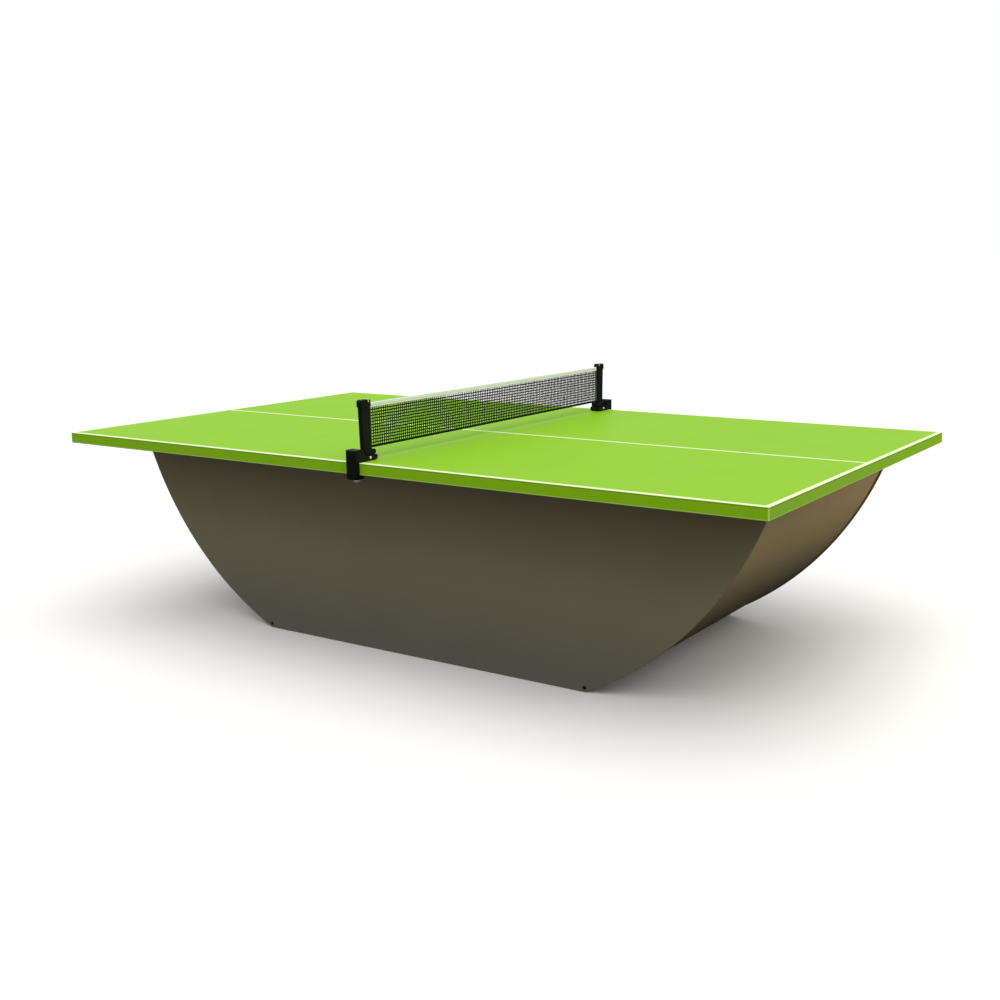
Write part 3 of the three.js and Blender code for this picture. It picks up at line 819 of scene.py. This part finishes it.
post_outer_foot, post_outer_top, post_inner = 0.037, 0.033, 0.075
foot_low, foot_high = 0.0183, 0.0343
post_top = 0.166
foot_tip = 0.086
foot_width, post_thickness = 0.032, 0.016
tip_radius, post_arris = 0.0062, 0.0018
for side_name in ("near", "far"):
    bm = bmesh.new()
    block(bm, (-foot_width / 2, post_outer_foot, foot_low), (foot_width / 2, foot_tip, foot_high))
    cuts = [
        ((-post_thickness / 2, 0, 0), (1, 0, 0)),
        ((post_thickness / 2, 0, 0), (1, 0, 0)),
        ((0, post_inner, 0), (0, 1, 0)),
    ]
    for point, normal in cuts:
        everything = bm.verts[:] + bm.edges[:] + bm.faces[:]
        bmesh.ops.bisect_plane(bm, geom=everything, plane_co=point, plane_no=normal)
    seat = [
        f
        for f in bm.faces
        if f.normal.z > 0.9
        and abs(f.calc_center_median().x) < post_thickness / 2
        and f.calc_center_median().y < post_inner
    ]
    grown = bmesh.ops.extrude_face_region(bm, geom=seat)["geom"]
    risen = [g for g in grown if isinstance(g, bmesh.types.BMVert)]
    bmesh.ops.translate(bm, vec=(0, 0, post_top - foot_high), verts=risen)
    for v in risen:
        if v.co.y < (post_outer_foot + post_inner) / 2:
            v.co.y += post_outer_top - post_outer_foot
    tip = [
        e
        for e in bm.edges
        if all(abs(v.co.y - foot_tip) < 1e-6 for v in e.verts)
        and abs(e.verts[0].co.z - e.verts[1].co.z) < 1e-6
        and abs(abs(e.verts[0].co.x) + abs(e.verts[1].co.x)) < 0.06
    ]
    rounded(bm, tip, tip_radius, 5)
    bmesh.ops.dissolve_limit(bm, angle_limit=math.radians(1), verts=bm.verts, edges=bm.edges)
    corners = [e for e in bm.edges if len(e.link_faces) == 2 and e.calc_face_angle() > math.radians(40)]
    rounded(bm, corners, post_arris, 3)
    to_side(bm, side_name)
    finished(bm, f"post_{side_name}", black_plastic, [f"net_post_{side_name}"])

cap_low, cap_high = 0.1663, 0.1893
cap_outline = [
    (0.031, cap_low, 0.002),
    (0.075, cap_low, 0.0),
    (0.075, cap_high, 0.0055),
    (0.068, cap_high, 0.0008),
    (0.068, cap_high - 0.009, 0.0012),
    (0.062, cap_high - 0.009, 0.0012),
    (0.062, cap_high, 0.001),
    (0.031, cap_high, 0.008),
]
cap_width, cap_arris = 0.020, 0.0011
for side_name in ("near", "far"):
    bm = profile_body(cap_outline, cap_width, cap_arris)
    to_side(bm, side_name)
    finished(bm, f"cap_{side_name}", black_plastic, [f"post_cap_{side_name}"])

# ---- Cord cleats and cross screws -----------------------------------------------------------
# A bright steel wedge in each cap's notch grips the net's top cord. A bright screw goes across
# the tip of each clamp arm and holds the post's foot down.

cleat_arris = 0.0012
cross_screw_head, cross_screw_rise, cross_screw_socket = 0.0045, 0.0020, 0.0017
cross_screw_shank, cross_screw_length = 0.00225, 0.042
for side_name in ("near", "far"):
    low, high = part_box(f"cord_cleat_{side_name}")
    bm = bmesh.new()
    block(bm, low, high)
    rounded(bm, bm.edges[:], cleat_arris, 3)
    finished(bm, f"cleat_{side_name}", chrome, [f"cord_cleat_{side_name}"])

    low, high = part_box(f"arm_screw_{side_name}")
    centre = (low + high) / 2
    bm = bmesh.new()
    button_head(bm, cross_screw_head, cross_screw_rise, cross_screw_socket)
    sideways = Matrix.Rotation(math.pi / 2, 3, "Y")
    bmesh.ops.rotate(bm, cent=(0, 0, 0), matrix=sideways, verts=bm.verts)
    bmesh.ops.translate(bm, vec=(high.x - cross_screw_rise, 0, 0), verts=bm.verts)
    bmesh.ops.mirror(bm, geom=bm.verts[:] + bm.edges[:] + bm.faces[:], axis="X", merge_dist=-1)
    shank = put_shank(bm, cross_screw_shank, cross_screw_length)
    bmesh.ops.rotate(bm, cent=(0, 0, 0), matrix=sideways, verts=shank)
    bmesh.ops.translate(bm, vec=(0, centre.y, centre.z), verts=bm.verts)
    finished(bm, f"cross_screw_{side_name}", chrome, [f"arm_screw_{side_name}"])

# ---- Net ------------------------------------------------------------------------------------
# Black twisted cord knotted into cells about 10 mm wide, stretched between the two posts.
# Each crossing is a small knot, and no two cells are quite the same.

net_cord = Finish("net_cord", Specular_IOR_Level=0.08)
tree = net_cord.tree
twist = new_node(tree.nodes, "ShaderNodeTexWave", Scale=260.0, Distortion=1.0)
twist.bands_direction = "DIAGONAL"
tree.links.new(net_cord.place, twist.inputs["Vector"])
net_cord.colour(colour_mix(tree, twist.outputs["Fac"], (0.006, 0.013, 0.009), (0.014, 0.028, 0.017)))
net_cord.roughness(ramp_node(tree, twist.outputs["Fac"], 0.0, 1.0, 0.92, 0.75))
net_cord.relief(twist.outputs["Fac"], 0.0004, 0.6)

cell_width, cell_height = 0.0104, 0.0095
strand = 0.0042
knot_radius = 0.0022
along_jitter, up_jitter, out_jitter = 0.0009, 0.0008, 0.0002
net_low, net_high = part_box("net_mesh")
columns = round((net_high.y - net_low.y) / cell_width)
rows = round((net_high.z - net_low.z) / cell_height)
chance = random.Random(7)
bm = bmesh.new()
bmesh.ops.create_grid(bm, x_segments=columns, y_segments=rows, size=0.5)
bmesh.ops.rotate(bm, cent=(0, 0, 0), matrix=Matrix.Rotation(math.pi / 2, 3, "Z"), verts=bm.verts)
bmesh.ops.rotate(bm, cent=(0, 0, 0), matrix=Matrix.Rotation(math.pi / 2, 3, "Y"), verts=bm.verts)
width, height = net_high.y - net_low.y, net_high.z - net_low.z
bmesh.ops.scale(bm, vec=(1, width, height), verts=bm.verts)
middle_height = (net_high.z + net_low.z) / 2
bmesh.ops.translate(bm, vec=(0, 0, middle_height), verts=bm.verts)
knots = []
for v in bm.verts:
    inside = abs(v.co.y) < width / 2 - 0.001 and abs(v.co.z - middle_height) < height / 2 - 0.001
    if inside:
        v.co.y += chance.uniform(-along_jitter, along_jitter)
        v.co.z += chance.uniform(-up_jitter, up_jitter)
        v.co.x += chance.uniform(-out_jitter, out_jitter)
        knots.append(v.co.copy())
bmesh.ops.wireframe(
    bm,
    faces=bm.faces[:],
    thickness=strand,
    use_replace=True,
    use_boundary=True,
    use_even_offset=True,
)
for place in knots:
    bmesh.ops.create_icosphere(bm, subdivisions=1, radius=knot_radius, matrix=Matrix.Translation(place))
net = finished(bm, "net", net_cord, ["net_mesh"], sharp=180)

# ---- Net tape -------------------------------------------------------------------------------
# White cotton tape, 32 mm wide, folded over the net's top edge. The top cord fills the fold,
# a row of stitches under it holds it there, and the two halves lie flat on the net below.

tape_cloth = Finish("white_tape", Specular_IOR_Level=0.15, Sheen_Weight=0.5)
tree = tape_cloth.tree
weave = new_node(tree.nodes, "ShaderNodeTexWave", Scale=520.0, Distortion=0.4)
weave.bands_direction = "Y"
tree.links.new(tape_cloth.place, weave.inputs["Vector"])
picks = new_node(tree.nodes, "ShaderNodeTexWave", Scale=520.0, Distortion=0.4)
picks.bands_direction = "Z"
tree.links.new(tape_cloth.place, picks.inputs["Vector"])
threads = math_node(tree, "MULTIPLY", weave.outputs["Fac"], picks.outputs["Fac"])
cloth = colour_mix(tree, threads, (0.93, 0.94, 0.91), (1.0, 1.0, 0.98))
tape_cloth.colour(tape_cloth.toned(cloth, size=40.0, amount=0.03))
tape_cloth.roughness(ramp_node(tree, threads, 0.0, 1.0, 0.95, 0.8))
tape_cloth.relief(threads, 0.0003, 0.5)

tape_low, tape_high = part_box("net_top_tape")
cord_low, cord_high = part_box("net_top_cord")
cord_middle = (cord_low.z + cord_high.z) / 2
fold_radius = 0.0023
stitch_height = tape_low.z + 0.0055
tape_half = 0.00235  # from the net's middle to the tape's free edges and its stitches
half_outline = [
    (tape_half, tape_low.z),
    (0.00250, tape_low.z + 0.002),
    (0.00250, stitch_height - 0.0018),
    (0.00215, stitch_height),
    (0.00250, stitch_height + 0.0018),
    (0.00245, stitch_height + 0.0035),
]
bm = bmesh.new()
rising = [bm.verts.new((x, tape_low.y, z)) for x, z in half_outline]
arc_start = math.radians(-32)
arc = [
    bm.verts.new(
        (fold_radius * math.cos(a), tape_low.y, cord_middle + fold_radius * math.sin(a))
    )
    for a in (arc_start + k * (math.pi / 2 - arc_start) / 7 for k in range(8))
]
path = rising + arc
for a, b in zip(path, path[1:]):
    bm.edges.new((a, b))
bmesh.ops.mirror(bm, geom=bm.verts[:] + bm.edges[:], axis="X", merge_dist=1e-5)
tape_length = tape_high.y - tape_low.y
slices = 120
front = bm.edges[:]
for k in range(slices):
    grown = bmesh.ops.extrude_edge_only(bm, edges=front)["geom"]
    front = [g for g in grown if isinstance(g, bmesh.types.BMEdge)]
    moved = [g for g in grown if isinstance(g, bmesh.types.BMVert)]
    bmesh.ops.translate(bm, vec=(0, tape_length / slices, 0), verts=moved)
for v in bm.verts:
    from_end = min(v.co.y - tape_low.y, tape_high.y - v.co.y)
    sway = 0.00018 * min(1, from_end / 0.02)
    if v.co.z < stitch_height:
        v.co.x += sway * math.sin(v.co.y * 61) * math.copysign(1, v.co.x)
bmesh.ops.recalc_face_normals(bm, faces=bm.faces)
bmesh.ops.solidify(bm, geom=bm.faces[:], thickness=0.0003)
tape = finished(bm, "net_tape", tape_cloth, ["net_top_tape"], sharp=70)

bm = bmesh.new()
stitch_size = (0.0006, 0.0038, 0.0010)
stitch_pitch = 0.0046
stitch_start = 0.006  # from the tape's ends
count = int((tape_length - 2 * stitch_start) / stitch_pitch)
for k in range(count):
    for s in (-1, 1):
        place = (s * tape_half, tape_low.y + stitch_start + (k + 0.5) * stitch_pitch, stitch_height)
        made = bmesh.ops.create_icosphere(bm, subdivisions=1, radius=0.5)["verts"]
        bmesh.ops.scale(bm, vec=stitch_size, verts=made)
        bmesh.ops.translate(bm, vec=place, verts=made)
# The stitches are grey thread, made darker as painted shade for the groove along the stitch row.
seam_thread_and_shade = Finish("grey_thread_with_painted_shade", Specular_IOR_Level=0.3)
seam_thread_and_shade.colour(seam_thread_and_shade.toned((0.28, 0.29, 0.25), size=400.0, amount=0.2))
seam_thread_and_shade.skinned(size=2500.0, roughness=0.7, spread=0.2, depth=0.0001, strength=0.4)
stitches = finished(bm, "tape_stitches", seam_thread_and_shade, sharp=180)

# ---- Net cords ------------------------------------------------------------------------------
# A thin cord in the tape's fold and a thicker three-strand one along the bottom of the net,
# both held tight between the posts.

repaint(["net_top_cord"], net_cord)
low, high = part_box("net_bottom_cord")
middle_height = (low.z + high.z) / 2
cord_radius = (high.z - low.z) / 2
bm = bmesh.new()
ring = bmesh.ops.create_circle(bm, cap_ends=False, radius=cord_radius, segments=12)["verts"]
for k, v in enumerate(ring):
    v.co *= 1.0 if k % 4 else 0.74
bmesh.ops.rotate(bm, cent=(0, 0, 0), matrix=Matrix.Rotation(math.pi / 2, 3, "X"), verts=ring)
bmesh.ops.translate(bm, vec=(0, low.y, middle_height), verts=ring)
bmesh.ops.contextual_create(bm, geom=bm.edges[:])
front = bm.edges[:]
rings = 520
turn_each = Matrix.Rotation(math.tau / 30, 3, "Y")  # 30 rings to a full twist
for k in range(rings):
    grown = bmesh.ops.extrude_edge_only(bm, edges=front)["geom"]
    front = [g for g in grown if isinstance(g, bmesh.types.BMEdge)]
    moved = [g for g in grown if isinstance(g, bmesh.types.BMVert)]
    bmesh.ops.translate(bm, vec=(0, (high.y - low.y) / rings, 0), verts=moved)
    bmesh.ops.rotate(bm, cent=(0, 0, middle_height), matrix=turn_each, verts=moved)
bmesh.ops.contextual_create(bm, geom=front)
finished(bm, "bottom_cord", net_cord, ["net_bottom_cord"], sharp=120)

# ---- Net sleeves ----------------------------------------------------------------------------
# Grey woven bands sewn along the net's two ends, which slip over the posts' net side.

sleeve_cloth = Finish("grey_sleeve", Specular_IOR_Level=0.15)
tree = sleeve_cloth.tree
weave = new_node(tree.nodes, "ShaderNodeTexWave", Scale=480.0, Distortion=0.5)
weave.bands_direction = "Z"
tree.links.new(sleeve_cloth.place, weave.inputs["Vector"])
cloth = colour_mix(tree, weave.outputs["Fac"], (0.11, 0.12, 0.10), (0.21, 0.225, 0.19))
sleeve_cloth.colour(sleeve_cloth.toned(cloth, size=60.0, amount=0.2))
sleeve_cloth.roughness(ramp_node(tree, weave.outputs["Fac"], 0.0, 1.0, 0.95, 0.8))
sleeve_cloth.relief(weave.outputs["Fac"], 0.0003, 0.5)
sleeve_softness, sleeve_arris = 0.0019, 0.0005
for side_name in ("near", "far"):
    low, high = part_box(f"net_sleeve_{side_name}")
    bm = bmesh.new()
    block(bm, low, high)
    long_edges = [e for e in bm.edges if abs(e.verts[0].co.z - e.verts[1].co.z) > 0.01]
    rounded(bm, long_edges, sleeve_softness, 4)
    ends_of = [e for e in bm.edges if abs(e.verts[0].co.z - e.verts[1].co.z) < 1e-6]
    rounded(bm, ends_of, sleeve_arris, 2)
    finished(bm, f"sleeve_{side_name}", sleeve_cloth, [f"net_sleeve_{side_name}"])
